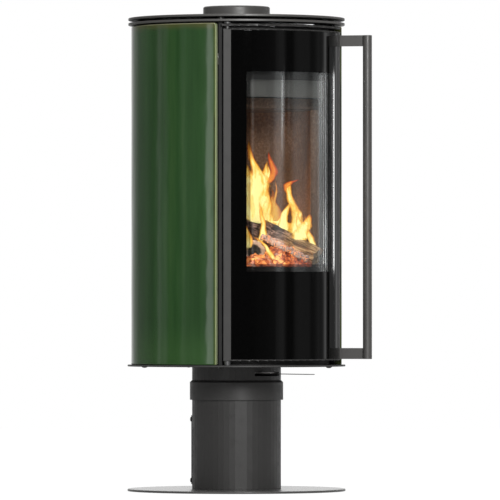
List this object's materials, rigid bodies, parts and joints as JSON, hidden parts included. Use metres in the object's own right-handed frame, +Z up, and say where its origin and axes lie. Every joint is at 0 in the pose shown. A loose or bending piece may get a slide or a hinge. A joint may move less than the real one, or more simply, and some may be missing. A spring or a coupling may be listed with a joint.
{
  "type": "tiled stove",
  "caption": "Round wood stove on a tubular swivel pedestal, clad in tall curved glazed tiles, with a curved glass door, a long bow handle and a top flue collar.",
  "frame": {"origin": "on the stove's upright axis, on the underside of the base plate, at the floor", "axes": "+Z up along the stove's axis, -Y out of the middle of the door, +X to the right for a person facing the door"},
  "size_m": [0.49, 0.534, 1.089],
  "materials": {
    "satin_paint": "satin heat-proof paint, dark warm grey",
    "plain_steel": "plain sheet steel",
    "green_glaze": "dark green gloss glaze",
    "black_glass": "glass with a black printed border round a clear window",
    "clear_glass": "clear ceramic glass",
    "fire_brick": "vermiculite brick, matt",
    "cast_iron": "bare cast iron",
    "seal_fibre": "woven glass-fibre rope",
    "glide_plastic": "glide ring"
  },
  "bodies": {
    "pedestal": {"base_plate": "satin_paint", "pedestal_tube": "satin_paint", "rear_access_cover": "satin_paint", "bearing_seat": "plain_steel", "glide_ring": "glide_plastic"},
    "stove": {"swivel_collar": "satin_paint", "retaining_sleeve": "plain_steel", "neck_tube": "satin_paint", "air_port_plate": "plain_steel", "bottom_plate": "satin_paint", "corner_post_front_left": "satin_paint", "corner_post_front_right": "satin_paint", "corner_post_rear_left": "satin_paint", "corner_post_rear_right": "satin_paint", "bottom_bolt_front_left": "plain_steel", "bottom_bolt_front_right": "plain_steel", "bottom_bolt_rear_left": "plain_steel", "bottom_bolt_rear_right": "plain_steel", "tile_left": "green_glaze", "tile_rear": "green_glaze", "tile_right": "green_glaze", "tile_hoop": "plain_steel", "front_frame": "satin_paint", "firebox_shell": "satin_paint", "firebox_crown": "satin_paint", "hearth_floor": "fire_brick", "grate": "cast_iron", "lining_right": "fire_brick", "lining_rear": "fire_brick", "lining_left": "fire_brick", "log_guard": "cast_iron", "baffle_lower": "fire_brick", "baffle_upper": "plain_steel", "air_wash_deflector": "plain_steel", "air_duct": "satin_paint", "ash_shelf": "satin_paint", "ash_pan": "plain_steel", "front_rail": "satin_paint", "top_ring": "satin_paint", "top_plate": "satin_paint", "flue_collar": "satin_paint", "top_spacer_1": "satin_paint", "top_spacer_2": "satin_paint", "top_spacer_3": "satin_paint", "top_spacer_4": "satin_paint", "hinge_pin_bottom": "plain_steel", "hinge_pin_top": "plain_steel", "catch_bracket": "plain_steel"},
    "door": {"door_frame": "satin_paint", "outer_glass": "black_glass", "inner_glass": "clear_glass", "inner_glass_retainer": "satin_paint", "seal_rope": "seal_fibre", "catch_tongue": "plain_steel", "handle_arm_bottom": "satin_paint", "handle_arm_top": "satin_paint", "handle_bar": "satin_paint"},
    "air_lever": {"air_shutter": "plain_steel", "air_lever": "satin_paint"},
    "catch_roller": {"catch_roller": "plain_steel"}
  },
  "joints": [
    {"name": "stove_swivel", "type": "hinge", "parent": "pedestal", "child": "stove", "pos_m": [0, 0, 0.249], "axis": [0, 0, 1], "range_deg": [-90, 90]},
    {"name": "door_hinge", "type": "hinge", "parent": "stove", "child": "door", "pos_m": [-0.14976, -0.1735, 0.294], "axis": [0, 0, -1], "range_deg": [0, 100]},
    {"name": "air_lever_pivot", "type": "hinge", "parent": "stove", "child": "air_lever", "pos_m": [0, 0, 0.264], "axis": [0, 0, 1], "range_deg": [-5, 30]},
    {"name": "catch_roller_spin", "type": "hinge", "parent": "stove", "child": "catch_roller", "pos_m": [0.1115, -0.1606, 1], "axis": [0, 0, 1], "continuous": true}
  ]
}
